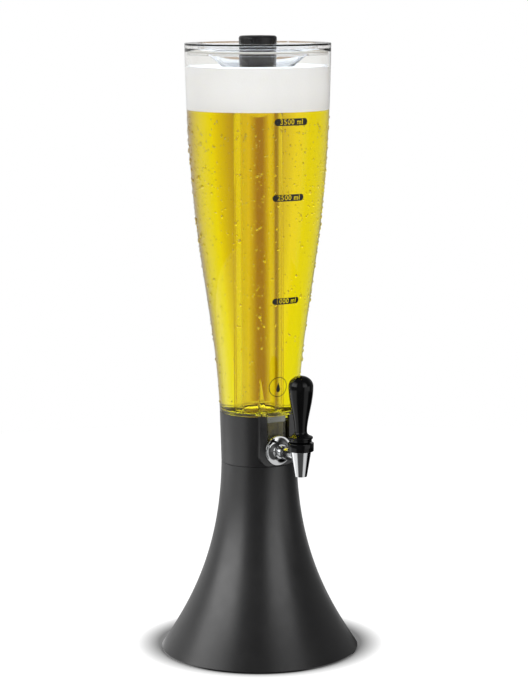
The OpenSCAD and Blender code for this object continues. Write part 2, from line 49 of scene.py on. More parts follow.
# ---------------------------------------------------------------- sizes, in millimetres, as in the CAD source
BELL_H, COLLAR_H, TANK_H = 222.0, 58.0, 411.5
FOOT_R, NECK_R, SEAT_R, RIM_R = 113.5, 43.4, 44.9, 82.0
FOOT_GAP, FOOT_ROUND, BELL_WALL = 0.8, 2.6, 3.0
Z_FLARE = FOOT_GAP + FOOT_ROUND
Z_SEAM = BELL_H
Z_SEAT = Z_SEAM + COLLAR_H
Z_RIM = Z_SEAT + TANK_H
SHELF_LOW, SHELF_TOP, SHELF_HOLE = 206, 209, 26  # the shelf in the bell's neck
BOSSES, BOSS_AT, BOSS_R, BOSS_HOLE, BOSS_LOW, BOSS_TOP = 4, 85, 4.5, 1.65, 4.5, 40

WALL, FLOOR_T, SUMP_R, SUMP_DEPTH = 2.5, 3.0, 35.2, 8.0
FLOOR_R = SEAT_R - WALL
Z_LEDGE = Z_SEAT + FLOOR_T
Z_FLOOR = Z_SEAT - SUMP_DEPTH + FLOOR_T
PAD_Y, PAD_HALF = 42.0, 24.0  # the flat pad for the tap
DUCT_HALF, DUCT_FRONT, DUCT_DEPTH, DUCT_DROP, DUCT_WALL, DUCT_ROUND = 12.5, 38.0, 24.0, 54.0, 2.6, 7.0
DUCT_REAR = -(DUCT_FRONT - DUCT_DEPTH)
WINDOW_HALF, WINDOW_DROP = 14.8, 9
Z_TAP, TAP_Y = Z_SEAT - 40.0, -90.4
SHANK_R, SHANK_HOLE = 5.6, 5.65

LID_RISE, LID_WALL, LID_FLAT_R = 5.5, 2.2, 67.5
FUNNEL_DEPTH, FUNNEL_R, THROAT, THROAT_OUT, THROAT_LONG = 30.3, 25.6, 21.3, 23.5, 6
SPIGOT_R, SPIGOT_LONG, GROOVE, GROOVE_TOP, GROOVE_LOW = 79.1, 7.5, .9, 2.75, 4.75
VENTS, VENT_R = 3, 1.5
Z_LID = Z_RIM + LID_RISE
Z_TUBE_SEAT = Z_RIM - FUNNEL_DEPTH
Z_THROAT = Z_TUBE_SEAT - THROAT_LONG

TUBE_R, TUBE_WALL, TUBE_ROUND, FLANGE, FLANGE_T, TUBE_SEAL = 20.9, 1.7, 3, 4, 2, 1.2
TUBE_IN = TUBE_R - TUBE_WALL
Z_TUBE = Z_FLOOR + 6.0
Z_TUBE_TOP = Z_RIM + 2.5
CAP_R, CAP_H, CAP_ROUND, PLUG_GAP, PLUG_WALL, PLUG_LONG = 21.3, 11, 2.8, .4, 2.4, 39
Z_PIN = Z_TAP + 23.5

Z_BEER, Z_FOAM = 623.2, 671.5
WET = .12  # the drink's skin lies this far inside the plastic, so that no air shows between them
Z_FINE = 340  # below this height the tank's wall is drawn in finer steps


def bezier(p, q, r, s, n):
    k = np.linspace(0, 1, n + 1)[:, None]
    p, q, r, s = (np.array(v, float) for v in (p, q, r, s))
    return (1 - k) ** 3 * p + 3 * k * (1 - k) ** 2 * q + 3 * k ** 2 * (1 - k) * r + k ** 3 * s


def mix(a, b, k):
    return a + (b - a) * k


def arc(x, z, radius, start, end, n, high=None):
    """Points of an arc about (x, z). With high, it is stretched to that half height."""
    high = radius if high is None else high
    return [(x + radius * math.cos(a), z + high * math.sin(a)) for a in np.linspace(start, end, n)]


def band(inner, outer, low, high):
    """The profile of a ring, or of a rod where inner is 0."""
    return [(inner, low), (outer, low), (outer, high), (inner, high)]


def points(array):
    return [tuple(p) for p in array]


TANK = bezier((SEAT_R, Z_SEAT), (mix(SEAT_R, RIM_R, .154), mix(Z_SEAT, Z_RIM, .3186)),
              (mix(SEAT_R, RIM_R, .908), mix(Z_SEAT, Z_RIM, .4333)), (RIM_R, Z_RIM), 400)
BELL = bezier((FOOT_R, Z_FLARE), (mix(FOOT_R, NECK_R, .402), mix(Z_FLARE, Z_SEAM, .2)),
              (mix(FOOT_R, NECK_R, .977), mix(Z_FLARE, Z_SEAM, .487)), (NECK_R, Z_SEAM), 96)
QUARTER = math.pi / 2


def tank_r(z):
    """The tank's outer radius at height z."""
    return np.interp(z, TANK[:, 1], TANK[:, 0])


# ---------------------------------------------------------------- mesh tools
def put(name, data):
    ob = bpy.data.objects.new(name, data)
    bpy.context.scene.collection.objects.link(ob)
    return ob


def to_mesh(name, bm):
    me = bpy.data.meshes.new(name)
    bm.to_mesh(me)
    bm.free()
    return me


def finish_data(name, me, mat, body, replaces=(), angle=32, slot=None):
    """Turns a mesh into a piece that rides a body, smooth up to an angle in degrees."""
    me.materials.clear()
    me.materials.append(mat)
    me.polygons.foreach_set("use_smooth", [True] * len(me.polygons))
    me.set_sharp_from_angle(angle=math.radians(angle))
    ob = put(name, me)
    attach(ob, body)
    if replaces:
        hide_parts(*replaces)
    return ob


def finish_mesh(name, bm, *rest, **options):
    bmesh.ops.remove_doubles(bm, verts=bm.verts, dist=1e-7)
    bmesh.ops.recalc_face_normals(bm, faces=bm.faces)
    return finish_data(name, to_mesh(name, bm), *rest, **options)


def soften(profile, radius, closed):
    """Rounds the corners of a profile with short arcs, no larger than its edges allow."""
    pts = [np.array(p, float) for p in profile]
    n, out = len(pts), []
    for i, p in enumerate(pts):
        if not closed and i in (0, n - 1):
            out.append(p)
            continue
        a, b = pts[i - 1] - p, pts[(i + 1) % n] - p
        la, lb = np.linalg.norm(a), np.linalg.norm(b)
        cosine = np.dot(a, b) / (la * lb)
        if cosine < math.cos(math.radians(155)) or radius <= 0:
            out.append(p)
            continue
        cut = min(radius, 0.4 * la, 0.4 * lb)
        p0, p1 = p + a / la * cut, p + b / lb * cut
        for k in (0, .25, .5, .75, 1):
            out.append((1 - k) ** 2 * p0 + 2 * k * (1 - k) * p + k * k * p1)
    return out


def turned_bmesh(profile, seg=128, at=(0, 0, 0), axis="Z", soft=0.0):
    """Turns a profile of (radius, height) about Z, or about an axis towards the front for axis='F'."""
    on_axis = abs(profile[0][0]) < 1e-9 and abs(profile[-1][0]) < 1e-9
    bm = bmesh.new()

    def place(r, z, a):
        if axis == "Z":
            p = (at[0] + r * math.cos(a), at[1] + r * math.sin(a), at[2] + z)
        else:
            p = (at[0] + r * math.cos(a), at[1] - z, at[2] + r * math.sin(a))
        return bm.verts.new([c * MM for c in p])

    rings = []
    for r, z in soften(profile, soft, not on_axis):
        if r < 1e-9:
            rings.append([place(0, z, 0)])
        else:
            rings.append([place(r, z, 2 * math.pi * i / seg) for i in range(seg)])
    pairs = list(zip(rings, rings[1:])) + ([] if on_axis else [(rings[-1], rings[0])])
    for lo, hi in pairs:
        for i in range(seg):
            j = (i + 1) % seg
            if len(lo) == 1 and len(hi) == 1:
                break
            if len(lo) == 1:
                bm.faces.new((lo[0], hi[i], hi[j]))
            elif len(hi) == 1:
                bm.faces.new((lo[i], hi[0], lo[j]))
            else:
                bm.faces.new((lo[i], hi[i], hi[j], lo[j]))
    return bm


def turned(name, profile, mat, body, replaces, seg, at=(0, 0, 0), axis="Z", soft=0.0, slot=None):
    return finish_mesh(name, turned_bmesh(profile, seg, at, axis, soft), mat, body, replaces, slot=slot)


def close_up(bm, front, rear):
    """Adds the solid between two like outlines of points."""
    front = [bm.verts.new(p) for p in front]
    rear = [bm.verts.new(p) for p in rear]
    bm.faces.new(front)
    bm.faces.new(rear[::-1])
    for i in range(len(front)):
        j = (i + 1) % len(front)
        bm.faces.new((front[j], front[i], rear[i], rear[j]))


def loft(bm, columns, closed):
    """Adds the walls between neighbouring columns, each a closed loop of vertices."""
    for a, b in zip(columns, columns[1:] + (columns[:1] if closed else [])):
        for k in range(len(a)):
            q = (k + 1) % len(a)
            bm.faces.new((a[k], b[k], b[q], a[q]))


def prism(outline, y0, y1, bevel=0.0):
    """A solid between y0 and y1 whose x-z outline is given, with rounded edges."""
    bm = bmesh.new()
    close_up(bm, *([(x * MM, y * MM, z * MM) for x, z in outline] for y in (y0, y1)))
    bmesh.ops.recalc_face_normals(bm, faces=bm.faces)
    if bevel:
        edges = [e for e in bm.edges if len(e.link_faces) == 2 and e.calc_face_angle(0) > math.radians(40)]
        bmesh.ops.bevel(bm, geom=edges, offset=bevel * MM, segments=3, profile=0.5, affect="EDGES")
    return bm


def tongue(half, low, high, r):
    """Outline with square upper corners and round lower corners."""
    pts = [(half, high), (-half, high)]
    pts += [(-half + r - r * math.cos(a), low + r - r * math.sin(a)) for a in np.linspace(0, QUARTER, 10)]
    pts += [(half - r + r * math.sin(a), low + r - r * math.cos(a)) for a in np.linspace(0, QUARTER, 10)]
    return pts


def scratch(bm):
    bmesh.ops.recalc_face_normals(bm, faces=bm.faces)
    return put("scratch", to_mesh("scratch", bm))


def combine(base, steps):
    """Applies boolean steps [(operation, bmesh), ...] to a bmesh and returns the mesh."""
    ob = scratch(base)
    tools = []
    for operation, bm in steps:
        tool = scratch(bm)
        m = ob.modifiers.new("b", "BOOLEAN")
        m.operation, m.solver, m.object = operation, "EXACT", tool
        tools.append(tool)
    dg = bpy.context.evaluated_depsgraph_get()
    me = bpy.data.meshes.new_from_object(ob.evaluated_get(dg))
    for o in tools + [ob]:
        old = o.data
        bpy.data.objects.remove(o)
        bpy.data.meshes.remove(old)
    return me


# ---------------------------------------------------------------- shader tools
def material(name):
    m = bpy.data.materials.new(name)
    m.use_nodes = True
    m.node_tree.nodes.clear()
    return m, m.node_tree, m.node_tree.nodes.new("ShaderNodeOutputMaterial")


def node(nt, kind, **values):
    """A new node. The values are its settings, or plain numbers and colours for its sockets."""
    n = nt.nodes.new(kind)
    for key, v in values.items():
        key = key if hasattr(n, key) else key.replace("_", " ")
        if key in n.inputs:
            n.inputs[key].default_value = v
        else:
            setattr(n, key, v)
    return n


def operate(nt, n, values):
    """Feeds a node's sockets in order, each with another node's output or with a plain value."""
    for socket, v in zip(n.inputs, values):
        if isinstance(v, bpy.types.NodeSocket):
            nt.links.new(v, socket)
        else:
            socket.default_value = v
    return n.outputs


def maths(nt, operation, *values):
    return operate(nt, node(nt, "ShaderNodeMath", operation=operation), values)[0]


def vector(nt, operation, *values):
    out = operate(nt, node(nt, "ShaderNodeVectorMath", operation=operation), values)
    return out["Value" if operation in ("DOT_PRODUCT", "LENGTH") else "Vector"]


def scaled(nt, colour, factor):
    n = node(nt, "ShaderNodeVectorMath", operation="SCALE")
    nt.links.new(colour, n.inputs[0])
    nt.links.new(factor, n.inputs["Scale"])
    return n.outputs["Vector"]


def mapped(nt, value, span, to=(0, 1), kind="LINEAR"):
    """Maps the span of a value onto another one. SMOOTHSTEP does it in an S-curve."""
    n = node(nt, "ShaderNodeMapRange", interpolation_type=kind)
    for key, v in zip(("From Min", "From Max", "To Min", "To Max"), (*span, *to)):
        n.inputs[key].default_value = v
    nt.links.new(value, n.inputs["Value"])
    return n.outputs["Result"]


def eased(nt, value, span, to=(0, 1)):
    return mapped(nt, value, span, to, "SMOOTHSTEP")


def blend(nt, share, low, high, clamp=True):
    """The colour low where share is 0 and high where it is 1."""
    n = node(nt, "ShaderNodeMix", data_type="RGBA", clamp_factor=clamp)
    n.inputs[6].default_value, n.inputs[7].default_value = (*low, 1), (*high, 1)
    nt.links.new(share, n.inputs[0])
    return n.outputs[2]


def either(nt, share, first, second):
    return operate(nt, node(nt, "ShaderNodeMixShader"), (share, first, second))[0]


def coordinates(nt, kind="Object"):
    return node(nt, "ShaderNodeTexCoord").outputs[kind]


def noise(nt, scale, detail=3.0, rough=0.5, stretch=(1, 1, 1)):
    mp = node(nt, "ShaderNodeMapping", Scale=stretch)
    nz = node(nt, "ShaderNodeTexNoise", Scale=scale, Detail=detail, Roughness=rough)
    nt.links.new(coordinates(nt), mp.inputs["Vector"])
    nt.links.new(mp.outputs["Vector"], nz.inputs["Vector"])
    return nz.outputs["Fac"]


def bump(nt, height, strength, distance):
    n = node(nt, "ShaderNodeBump", Strength=strength, Distance=distance)
    nt.links.new(height, n.inputs["Height"])
    return n.outputs["Normal"]


def principled(nt, color, rough, **values):
    return node(nt, "ShaderNodeBsdfPrincipled", Base_Color=(*color, 1), Roughness=rough, **values)


def facing(nt, where, direction):
    """How far a place or direction, as seen from above, agrees with the given one, -1 to 1."""
    level = vector(nt, "NORMALIZE", vector(nt, "MULTIPLY", where, (1, 1, 0)))
    return vector(nt, "DOT_PRODUCT", level, direction)


def cosines(outer, inner):
    return math.cos(math.radians(outer)), math.cos(math.radians(inner))


# ---------------------------------------------------------------- materials
def solid_material(name, dark, light, rough, grain, grain_depth, patch=18.0, **values):
    """An opaque material: two close tones in soft patches, a fine grain in the surface and uneven gloss."""
    m, nt, out = material(name)
    p = principled(nt, light, rough[0], **values)
    middle = (.3, .7)
    tone = blend(nt, mapped(nt, noise(nt, patch, 4, .6), middle), dark, light)
    nt.links.new(tone, p.inputs["Base Color"])
    nt.links.new(mapped(nt, noise(nt, patch * 3.1, 3, .6), middle, rough), p.inputs["Roughness"])
    nt.links.new(bump(nt, noise(nt, grain, 2, .5), .5, grain_depth), p.inputs["Normal"])
    nt.links.new(p.outputs["BSDF"], out.inputs["Surface"])
    return m


def clear_material(name, color, ior, rough=0.0, wave=None, absorb=None, shadow=.95, gloss=1.0,
                   neck=None, foot=None, rim=None):
    """
    A clear material that lets lamps shine through it, so that what it holds is lit.
    wave: scale and depth of a faint moulding wave. absorb: colour and density of its volume.
    shadow: the light it lets through. gloss: how bright it reflects.
    neck: a height in metres and the tint above it, used as painted shade on the ice tube. foot: a height and
    the clear share below it.
    rim: the tint where the mesh's own attribute of that name is 0, used as painted shade round the droplets'
    upper rims.
    """
    m, nt, out = material(name)
    p = principled(nt, color, rough, Transmission_Weight=1.0, IOR=ior, Specular_Tint=(gloss, gloss, gloss, 1))
    if foot or neck:
        height = node(nt, "ShaderNodeSeparateXYZ")
        nt.links.new(coordinates(nt), height.inputs[0])
    if foot:
        share = mapped(nt, height.outputs["Z"], (foot[0] - MM, foot[0] + MM), (foot[1], 1))
        nt.links.new(share, p.inputs["Transmission Weight"])
    if neck:
        above = mapped(nt, height.outputs["Z"], (neck[0] - MM, neck[0] + MM))
        nt.links.new(blend(nt, above, color, neck[1]), p.inputs["Base Color"])
    if rim:
        share = node(nt, "ShaderNodeAttribute", attribute_name="rim").outputs["Fac"]
        nt.links.new(blend(nt, share, rim, (1, 1, 1)), p.inputs["Base Color"])
    if wave:
        nt.links.new(bump(nt, noise(nt, wave[0], 2, .4, (1, 1, .35)), .35, wave[1]), p.inputs["Normal"])
    lets = node(nt, "ShaderNodeBsdfTransparent", Color=(*(c * shadow for c in color), 1))
    is_shadow = node(nt, "ShaderNodeLightPath").outputs["Is Shadow Ray"]
    nt.links.new(either(nt, is_shadow, p.outputs["BSDF"], lets.outputs["BSDF"]), out.inputs["Surface"])
    if absorb:
        v = node(nt, "ShaderNodeVolumeAbsorption", Color=(*absorb[0], 1), Density=absorb[1])
        nt.links.new(v.outputs["Volume"], out.inputs["Volume"])
    return m


charcoal = solid_material("stand_plastic", (.008, .008, .0085), (.0105, .0105, .011), (.30, .37), 1400,
                          .00007, Specular_IOR_Level=1.0)
plate_plastic = solid_material("plate_plastic", (.018, .018, .019), (.026, .026, .027), (.5, .65), 900,
                               .00008)
foot_rubber = solid_material("foot_rubber", (.012, .012, .012), (.02, .02, .02), (.7, .85), 700, .0001)
black_rubber = solid_material("black_rubber", (.01, .01, .01), (.018, .018, .018), (.5, .65), 700, .00005)
cap_plastic = solid_material("cap_plastic", (.008, .008, .009), (.014, .014, .015), (.24, .34), 1200, .00004,
                             Specular_IOR_Level=.3)
black_gloss = solid_material("black_gloss", (.002, .002, .0022), (.0035, .0035, .0038), (.05, .1), 130,
                             .00004, Specular_IOR_Level=.3)
screw_steel = solid_material("screw_steel", (.48, .48, .5), (.6, .6, .62), (.25, .4), 1500, .00002,
                             Metallic=1.0)
tap_steel = solid_material("tap_steel", (.5, .5, .51), (.62, .62, .64), (.18, .3), 1500, .00002, Metallic=1.0)
silicone = solid_material("silicone", (.70, .69, .66), (.8, .79, .76), (.45, .55), 500, .00003,
                          Subsurface_Weight=.15, Subsurface_Radius=(.002, .002, .002))
chrome = solid_material("chrome", (.78, .79, .80), (.88, .89, .90), (.07, .13), 60, .00003, Metallic=1.0)
foam_white = solid_material("foam_white", (.87, .87, .865), (.91, .91, .905), (.55, .75), 420, .00025,
                            patch=9, Subsurface_Weight=.25, Subsurface_Radius=(.006, .006, .005))
ink_black = solid_material("ink_black", (.006, .006, .005), (.012, .012, .010), (.3, .45), 900, .00002)

clear_wall = clear_material("clear_plastic", (.955, .96, .955), 1.47, .012, (22, .00025), gloss=.4,
                            foot=(.284, .975))
# painted shade: the tube's amber tint darkens the drink's core, and above the foam the tube is tinted dark
# grey
tube_clear = clear_material("tube_clear", (.94, .86, .71), 1.35, .012, (30, .0002), gloss=.5,
                            neck=(Z_FOAM * MM, (.17, .17, .17)))
smoke_lid = clear_material("smoke_plastic", (.92, .92, .925), 1.28, .04, (26, .0002), gloss=.6)
# painted shade: the droplets are tinted dark round their upper rims
water = clear_material("water", (.97, .97, .97), 2.6, shadow=.9, gloss=.3, rim=(.32, .26, .12))
beer = clear_material("beer", (1, 1, 1), 1.34, absorb=((.993, .971, 0.0), 75.0), shadow=.8)

NODE_MATERIALS = {
    charcoal: ("base_bell", "base_collar"), plate_plastic: ("base_plate",), foot_rubber: ("rubber_feet",),
    screw_steel: ("base_plate_screws", "collar_screws"), cap_plastic: ("ice_tube_cap",),
    silicone: ("lid_gasket", "tube_seal", "tap_seal_washer", "bonnet_seal", "seat_plug"),
    black_rubber: ("cap_seal", "stem_seal"), clear_wall: ("tank",), smoke_lid: ("lid",),
    tap_steel: ("tap_lock_nut", "valve_stem", "valve_spring", "handle_pin"), tube_clear: ("ice_tube",),
    chrome: ("tap_body", "tap_escutcheon"), black_gloss: ("bonnet", "tap_handle")}
for mat, names in NODE_MATERIALS.items():
    for name in names:
        nodes[name].data.materials.clear()
        nodes[name].data.materials.append(mat)


# ---------------------------------------------------------------- stand
def build_bell():
    """The bell, turned finely, with its neck shelf and the bosses for the bottom plate's screws."""
    edge = arc(FOOT_R - FOOT_ROUND, Z_FLARE, FOOT_ROUND, -QUARTER, 0, 7)
    neck_in = NECK_R - BELL_WALL
    inside = [(r - BELL_WALL, z) for r, z in BELL if z < SHELF_LOW - 1]
    profile = [(FOOT_R - BELL_WALL, FOOT_GAP)] + edge[:-1] + points(BELL[:-1])
    profile += [(NECK_R, Z_SEAM - .5), (NECK_R - .5, Z_SEAM), (neck_in, Z_SEAM), (neck_in, SHELF_TOP),
                (SHELF_HOLE, SHELF_TOP), (SHELF_HOLE, SHELF_LOW), (neck_in, SHELF_LOW)] + inside[::-1]
    bosses = []
    for k in range(BOSSES):
        a = math.radians(45 + 360 / BOSSES * k)
        at = (BOSS_AT * math.cos(a), BOSS_AT * math.sin(a), 0)
        bosses.append(("UNION", turned_bmesh(band(BOSS_HOLE, BOSS_R, BOSS_LOW, BOSS_TOP), 40, at)))
    mesh = combine(turned_bmesh(profile, 192), bosses)
    finish_data("bell_shell", mesh, charcoal, "stand", ["base_bell"], slot="stand_plastic")


# ---------------------------------------------------------------- tank
# its outer wall is a polar sheet: round, but pushed out to the flat pad's two corners below the flare
PHI = np.concatenate([np.radians(np.arange(-36, 36.01, .5)),  # from the front, -Y, towards +X
                      np.radians(np.arange(38, 322.1, 2.0))])


def pad_reach(phi):
    """Distance from the axis to the pad's outline in direction phi, with softened corners."""
    c, s = np.cos(phi), np.abs(np.sin(phi))
    flat = PAD_Y / np.maximum(c, 1e-6)
    side = PAD_HALF / np.maximum(s, 1e-6)
    sharp = 60.0
    near = -np.log(np.exp(-flat / PAD_Y * sharp) + np.exp(-side / PAD_Y * sharp)) * PAD_Y / sharp
    return np.where(c > .2, near, 0)


def ring_at(radius, z, pad=False):
    r = np.full(len(PHI), float(radius))
    if pad:
        r = np.maximum(r, pad_reach(PHI))
    return np.stack([r * np.sin(PHI), -r * np.cos(PHI), np.full(len(PHI), float(z))], 1)


def sheet_bmesh(rings, low, high):
    """A closed solid from rings of points and a point on the axis at each end."""
    bm = bmesh.new()
    n = len(PHI)
    vs = [[bm.verts.new([c * MM for c in p]) for p in ring] for ring in rings]
    a, b = bm.verts.new((0, 0, low * MM)), bm.verts.new((0, 0, high * MM))
    for lo, hi in zip(vs, vs[1:]):
        for i in range(n):
            j = (i + 1) % n
            bm.faces.new((lo[i], lo[j], hi[j], hi[i]))
    for i in range(n):
        j = (i + 1) % n
        bm.faces.new((a, vs[0][j], vs[0][i]))
        bm.faces.new((b, vs[-1][i], vs[-1][j]))
    return bm


def wall_heights(low, fine, high, coarse):
    return np.concatenate([np.linspace(low, Z_FINE, fine), np.linspace(Z_FINE + 4, high, coarse)])


def build_tank():
    """The goblet with its pad, rim, sunk floor and outlet duct, as one closed solid."""
    lip = Z_RIM - .6
    rings = [ring_at(SEAT_R - 4, Z_SEAT), ring_at(SEAT_R - .4, Z_SEAT, True)]
    rings += [ring_at(tank_r(z), z, True) for z in wall_heights(Z_SEAT + .4, 61, lip, 88)]
    rings += [ring_at(RIM_R - .2, Z_RIM - .2), ring_at(RIM_R - .6, Z_RIM),
              ring_at(RIM_R - WALL + .6, Z_RIM), ring_at(RIM_R - WALL + .2, Z_RIM - .2)]
    rings += [ring_at(tank_r(z) - WALL, z) for z in wall_heights(Z_LEDGE + 2.5, 24, lip, 88)[::-1]]
    rings += [ring_at(FLOOR_R - .3, Z_LEDGE + 1.2), ring_at(FLOOR_R - 1.0, Z_LEDGE + .35),
              ring_at(FLOOR_R - 2.2, Z_LEDGE)]
    z_sunk = Z_SEAT - SUMP_DEPTH
    sunk = turned_bmesh([(0, z_sunk), (39.5, z_sunk), (40, z_sunk + .5), (40, Z_SEAT + 1.5),
                         (0, Z_SEAT + 1.5)], 120)
    mouth = SUMP_R + 1.5
    sump = turned_bmesh([(0, Z_FLOOR), (SUMP_R - 1, Z_FLOOR), (SUMP_R, Z_FLOOR + 1), (SUMP_R, Z_LEDGE - .5),
                         (mouth, Z_LEDGE + 1), (mouth, Z_LEDGE + 3), (0, Z_LEDGE + 3)], 144)
    duct = prism(tongue(DUCT_HALF, Z_SEAT - DUCT_DROP, Z_SEAT + 2, DUCT_ROUND), -DUCT_FRONT, DUCT_REAR, .7)
    hollow = prism(tongue(DUCT_HALF - DUCT_WALL, Z_SEAT - DUCT_DROP + DUCT_WALL, Z_LEDGE,
                          DUCT_ROUND - DUCT_WALL), -DUCT_FRONT + DUCT_WALL, DUCT_REAR - DUCT_WALL)
    window = prism([(WINDOW_HALF, Z_SEAT - WINDOW_DROP), (WINDOW_HALF, Z_SEAT), (-WINDOW_HALF, Z_SEAT),
                    (-WINDOW_HALF, Z_SEAT - WINDOW_DROP)], -PAD_Y, -DUCT_FRONT)
    shank_hole = turned_bmesh(band(0, SHANK_HOLE, 34.5, 39), 48, (0, 0, Z_TAP), "F")
    mesh = combine(sheet_bmesh(rings, Z_SEAT, Z_LEDGE),
                   [("UNION", sunk), ("DIFFERENCE", window), ("DIFFERENCE", sump), ("UNION", duct),
                    ("DIFFERENCE", hollow), ("DIFFERENCE", shank_hole)])
    finish_data("tank_shell", mesh, clear_wall, "tank_unit", ["tank"], angle=30, slot="clear_plastic")


# ---------------------------------------------------------------- drink
def build_beer():
    side = [(SUMP_R - 1 + WET, Z_FLOOR - WET), (SUMP_R + WET, Z_FLOOR + .9), (SUMP_R + WET, Z_LEDGE - .5),
            (SUMP_R + .6, Z_LEDGE - WET), (FLOOR_R - 2.2 + WET, Z_LEDGE - WET),
            (FLOOR_R - 1.0 + WET, Z_LEDGE + .3), (FLOOR_R - .3 + WET, Z_LEDGE + 1.2)]
    side += [(tank_r(z) - WALL + WET, z) for z in wall_heights(Z_LEDGE + 2.5, 24, Z_BEER, 76)]
    hole = TUBE_R - WET
    below = Z_TUBE + WET
    profile = [(0, Z_FLOOR - WET)] + side + [(hole, Z_BEER), (hole, Z_TUBE + TUBE_ROUND)]
    profile += arc(hole - TUBE_ROUND, below + TUBE_ROUND, TUBE_ROUND, -.2, -QUARTER, 6) + [(0, below)]
    in_duct = prism(tongue(DUCT_HALF - DUCT_WALL + WET, Z_SEAT - DUCT_DROP + DUCT_WALL - WET, Z_LEDGE - .05,
                           DUCT_ROUND - DUCT_WALL), -DUCT_FRONT + DUCT_WALL - WET,
                    DUCT_REAR - DUCT_WALL + WET)
    mesh = combine(turned_bmesh(profile, 240), [("UNION", in_duct)])
    finish_data("beer_body", mesh, beer, "tank_unit", angle=30)


rng = np.random.default_rng(7)
PHASES = rng.uniform(0, 2 * math.pi, 12)
FOAM_RINGS = (70, 62, 54, 48, 43.2)  # radii of its top, from the wall in to the funnel
# under the funnel, round the lid's throat and down the ice tube
FOAM_THROAT = [(25.4, Z_THROAT + 1.4), (24.4, Z_THROAT), (24.2, Z_THROAT - .6), (21.3, Z_THROAT - .6),
               (21.2, 640), (21.2, Z_BEER)]


def foam_top(phi, r):
    """Its height: gently uneven near the wall, level under the lid's funnel."""
    wave = sum(math.sin(k * phi + PHASES[k]) / (k + 2) for k in range(2, 12))
    return Z_FOAM + .9 * wave * min(1.0, max(0.0, (r - 44) / 25))


def build_foam():
    """A thick ring between the wall, the lid's funnel and the ice tube."""
    bm = bmesh.new()
    segments = 240
    columns = []
    r_top = float(tank_r(Z_FOAM)) - WALL + WET
    wall = [(float(tank_r(z)) - WALL + WET, z) for z in np.linspace(Z_BEER, Z_FOAM - 3, 12)]
    for i in range(segments):
        phi = 2 * math.pi * i / segments
        top = [(r, foam_top(phi, r)) for r in (r_top, r_top - .8, r_top - 4, *FOAM_RINGS)]
        columns.append([bm.verts.new((r * math.sin(phi) * MM, -r * math.cos(phi) * MM, z * MM))
                        for r, z in wall + top + FOAM_THROAT])
    loft(bm, columns, closed=True)
    finish_mesh("beer_foam", bm, foam_white, "tank_unit", angle=40)


# ---------------------------------------------------------------- lid, ice tube and cap
def build_lid():
    """The band on the rim, the spigot with its groove, the funnel with its throat, and the air holes."""
    slope = math.atan2(LID_RISE + FUNNEL_DEPTH, LID_FLAT_R - FUNNEL_R)
    drop = LID_WALL / math.cos(slope)
    spigot_in, groove_r = SPIGOT_R - LID_WALL, SPIGOT_R - GROOVE
    profile = [(RIM_R, Z_RIM + .05), (RIM_R, Z_LID), (LID_FLAT_R, Z_LID), (FUNNEL_R, Z_TUBE_SEAT),
               (THROAT, Z_TUBE_SEAT), (THROAT, Z_THROAT), (THROAT_OUT, Z_THROAT),
               (THROAT_OUT, Z_TUBE_SEAT - drop - (FUNNEL_R - THROAT_OUT) * math.tan(slope)),
               (LID_FLAT_R + (drop - LID_WALL) / math.tan(slope), Z_LID - LID_WALL),
               (spigot_in, Z_LID - LID_WALL), (spigot_in, Z_RIM - SPIGOT_LONG),
               (SPIGOT_R, Z_RIM - SPIGOT_LONG), (SPIGOT_R, Z_RIM - GROOVE_LOW),
               (groove_r, Z_RIM - GROOVE_LOW), (groove_r, Z_RIM - GROOVE_TOP),
               (SPIGOT_R, Z_RIM - GROOVE_TOP), (SPIGOT_R, Z_RIM + .05)]
    vents = []
    for k in range(VENTS):
        a = math.radians(30 + 360 / VENTS * k)
        r = (LID_FLAT_R + SPIGOT_R) / 2
        at = (r * math.cos(a), r * math.sin(a), 0)
        vents.append(("DIFFERENCE", turned_bmesh(band(0, VENT_R, 690, 700), 24, at)))
    mesh = combine(turned_bmesh(profile, 192, soft=.5), vents)
    finish_data("lid_shell", mesh, smoke_lid, "lid_unit", ["lid"], angle=35, slot="smoke_plastic")


def build_ice_tube():
    """The closed tube with its flange, which hangs on a seal in the lid's funnel."""
    seat = Z_TUBE_SEAT + TUBE_SEAL
    flange_r = TUBE_R + FLANGE
    inner_round = TUBE_ROUND / 2
    profile = [(0, Z_TUBE)] + arc(TUBE_R - TUBE_ROUND, Z_TUBE + TUBE_ROUND, TUBE_ROUND, -QUARTER, 0, 8)
    profile += [(TUBE_R, seat), (flange_r, seat), (flange_r, seat + FLANGE_T), (TUBE_R, seat + FLANGE_T),
                (TUBE_R, Z_TUBE_TOP), (TUBE_IN, Z_TUBE_TOP)]
    profile += arc(TUBE_IN - inner_round, Z_TUBE + TUBE_WALL + inner_round, inner_round, 0, -QUARTER, 6)
    profile += [(0, Z_TUBE + TUBE_WALL)]
    turned("ice_tube_shell", profile, tube_clear, "ice_tube_unit", ["ice_tube"], 160, soft=.35,
           slot="clear_plastic")


def build_cap():
    """The knob with a shallow dish in its top, and its hollow plug with a groove for the seal."""
    plug, groove = TUBE_IN - PLUG_GAP, 1.2
    z_low, z_top = Z_TUBE_TOP - PLUG_LONG, Z_TUBE_TOP + CAP_H
    profile = [(0, Z_TUBE_TOP), (plug - PLUG_WALL, Z_TUBE_TOP), (plug - PLUG_WALL, z_low), (plug, z_low),
               (plug, z_low + 4.8), (plug - groove, z_low + 4.8), (plug - groove, z_low + 7.2),
               (plug, z_low + 7.2), (plug, Z_TUBE_TOP), (CAP_R - .1, Z_TUBE_TOP)]
    profile += arc(CAP_R - CAP_ROUND, z_top - CAP_ROUND, CAP_ROUND, 0, QUARTER, 9)
    profile += [(16.5, z_top), (13.5, z_top - 1.2), (0, z_top - 1.6)]
    turned("cap_knob", profile, cap_plastic, "cap_unit", ["ice_tube_cap"], 160, soft=.3, slot="cap_plastic")


# ---------------------------------------------------------------- tap
TAP_AXIS, SHANK_AXIS = (0, TAP_Y, 0), (0, 0, Z_TAP)
CONE_TOP = Z_TAP + 8


